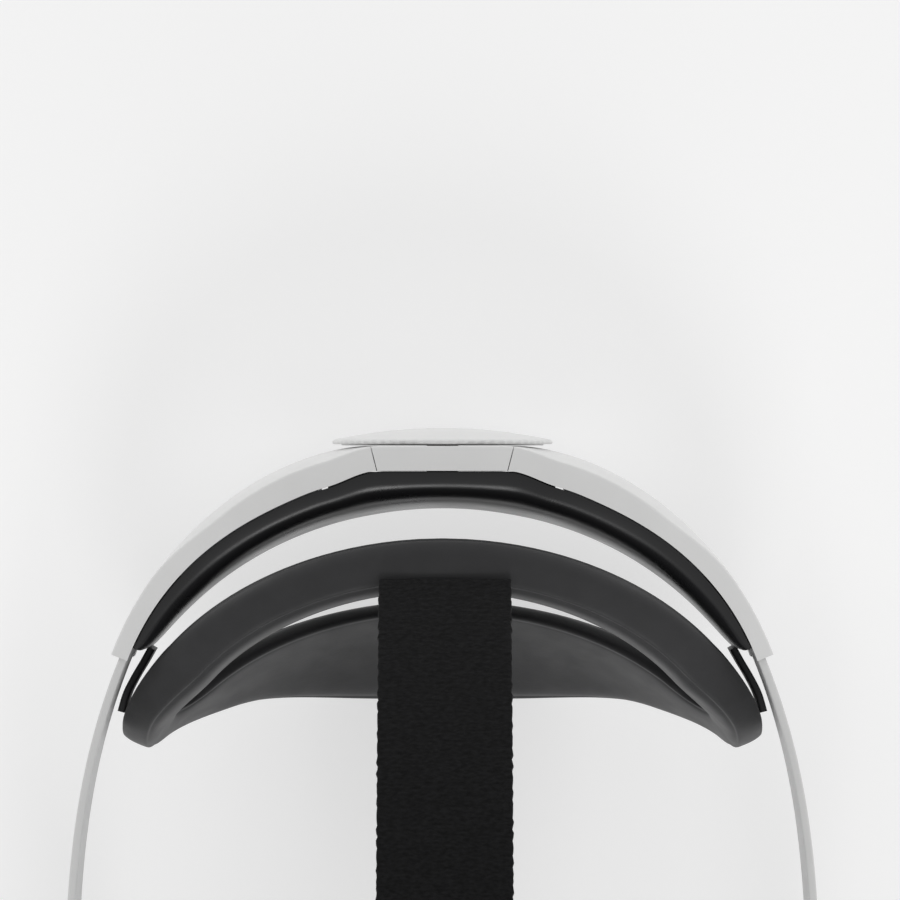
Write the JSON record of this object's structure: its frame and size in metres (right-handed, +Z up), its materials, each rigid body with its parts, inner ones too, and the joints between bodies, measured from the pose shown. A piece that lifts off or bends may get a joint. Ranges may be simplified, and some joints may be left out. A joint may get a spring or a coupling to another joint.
{
  "type": "vr headset",
  "caption": "Stand-alone headset: visor with sliding lenses, tilting side arms, rear battery housing with fit dial, padded cradle hoop and top strap.",
  "frame": {"origin": "on the floor under the middle of the overall box, in the plane of symmetry", "axes": "+Y from the visor to the rear housing, +Z up, +X the wearer's left"},
  "size_m": [0.1646, 0.286, 0.1426],
  "materials": {
    "white_shell": "matte",
    "window": "gloss",
    "satin_black": "satin",
    "soft_black": "matte",
    "black_weave": "matte",
    "lens_tint": "polished",
    "dark_grey": "matte",
    "steel": "satin",
    "board_green": "satin",
    "cell_silver": "satin"
  },
  "bodies": {
    "visor": {"visor_front_shell": "white_shell", "visor_rear_shell": "white_shell", "front_window": "window", "lens_panel": "satin_black", "guide_rod_upper": "steel", "guide_rod_lower": "steel", "spacing_motor": "dark_grey", "main_board": "board_green", "heat_sink": "steel", "fan_housing": "satin_black", "tracking_camera_upper_left": "satin_black", "tracking_camera_upper_right": "satin_black", "tracking_camera_lower_left": "satin_black", "tracking_camera_lower_right": "satin_black", "colour_camera": "satin_black", "proximity_sensor": "satin_black", "face_frame": "satin_black", "face_cushion": "soft_black", "usb_c_port": "steel", "front_strap_loop": "satin_black", "temple_bracket_left": "satin_black", "temple_bracket_right": "satin_black", "temple_pin_left": "steel", "temple_pin_right": "steel", "top_strap_front": "black_weave"},
    "eye_left": {"lens_barrel_left": "satin_black", "lens_left": "lens_tint", "display_left": "dark_grey", "spacing_rack_left": "steel"},
    "eye_right": {"lens_barrel_right": "satin_black", "lens_right": "lens_tint", "display_right": "dark_grey", "spacing_rack_right": "steel"},
    "spacing_gear": {"spacing_pinion": "steel"},
    "fan": {"fan_rotor": "dark_grey"},
    "power_key": {"power_button": "satin_black"},
    "volume_key": {"volume_rocker": "satin_black"},
    "side_arms": {"arm_left": "white_shell", "arm_right": "white_shell", "arm_band_left": "white_shell", "arm_band_right": "white_shell", "speaker_left": "dark_grey", "speaker_right": "dark_grey", "speaker_cover_left": "satin_black", "speaker_cover_right": "satin_black"},
    "rear_housing": {"rear_housing_shell": "white_shell", "housing_centre_cap": "white_shell", "housing_inner_cover": "satin_black", "battery_cell_left": "cell_silver", "battery_cell_right": "cell_silver", "charge_board": "board_green", "cradle_pad": "soft_black", "cradle_core": "satin_black", "cradle_link_left": "satin_black", "cradle_link_right": "satin_black", "top_strap_rear": "black_weave"},
    "dial": {"fit_dial": "white_shell", "dial_pinion": "steel"},
    "rack_left": {"fit_rack_left": "dark_grey"},
    "rack_right": {"fit_rack_right": "dark_grey"}
  },
  "joints": [
    {"name": "strap_tilt", "type": "hinge", "parent": "visor", "child": "side_arms", "pos_m": [0, -0.085, 0.06], "axis": [1, 0, 0], "range_deg": [-6, 24], "deforming": ["top_strap_front", "top_strap_rear"]},
    {"name": "fit_adjust", "type": "slide", "parent": "side_arms", "child": "rear_housing", "axis": [0, -1, 0], "range_m": [0, 0.02], "deforming": ["arm_band_left", "arm_band_right"]},
    {"name": "dial_turn", "type": "hinge", "parent": "rear_housing", "child": "dial", "pos_m": [0, 0.1394, 0.05], "axis": [0, 1, 0], "range_deg": [0, 192]},
    {"name": "left_rack_slide", "type": "slide", "parent": "rear_housing", "child": "rack_left", "axis": [-1, 0, 0], "range_m": [0, 0.0201]},
    {"name": "right_rack_slide", "type": "slide", "parent": "rear_housing", "child": "rack_right", "axis": [1, 0, 0], "range_m": [0, 0.0201]},
    {"name": "left_eye_slide", "type": "slide", "parent": "visor", "child": "eye_left", "axis": [1, 0, 0], "range_m": [-0.002, 0.003]},
    {"name": "right_eye_slide", "type": "slide", "parent": "visor", "child": "eye_right", "axis": [-1, 0, 0], "range_m": [-0.0021, 0.0031]},
    {"name": "spacing_gear_turn", "type": "hinge", "parent": "visor", "child": "spacing_gear", "pos_m": [0, -0.123, 0.043], "axis": [0, 1, 0], "range_deg": [-30, 45]},
    {"name": "fan_spin", "type": "hinge", "parent": "visor", "child": "fan", "pos_m": [0, -0.1336, 0.061], "axis": [0, 1, 0], "continuous": true},
    {"name": "power_press", "type": "slide", "parent": "visor", "child": "power_key", "axis": [0, 0, -1], "range_m": [0, 0.0006], "stiffness_N_per_m": 600},
    {"name": "volume_rock", "type": "hinge", "parent": "visor", "child": "volume_key", "pos_m": [-0.045, -0.1234, 0.0805], "axis": [0, 1, 0], "range_deg": [-2.5, 2.5], "stiffness_Nm_per_rad": 0.05}
  ],
  "couplings": [
    {"joint": "dial_turn", "follows": "fit_adjust", "rad_per_m": 166.67},
    {"joint": "left_rack_slide", "follows": "fit_adjust", "ratio": 1},
    {"joint": "right_rack_slide", "follows": "fit_adjust", "ratio": 1},
    {"joint": "right_eye_slide", "follows": "left_eye_slide", "ratio": 1},
    {"joint": "spacing_gear_turn", "follows": "left_eye_slide", "rad_per_m": 250}
  ]
}
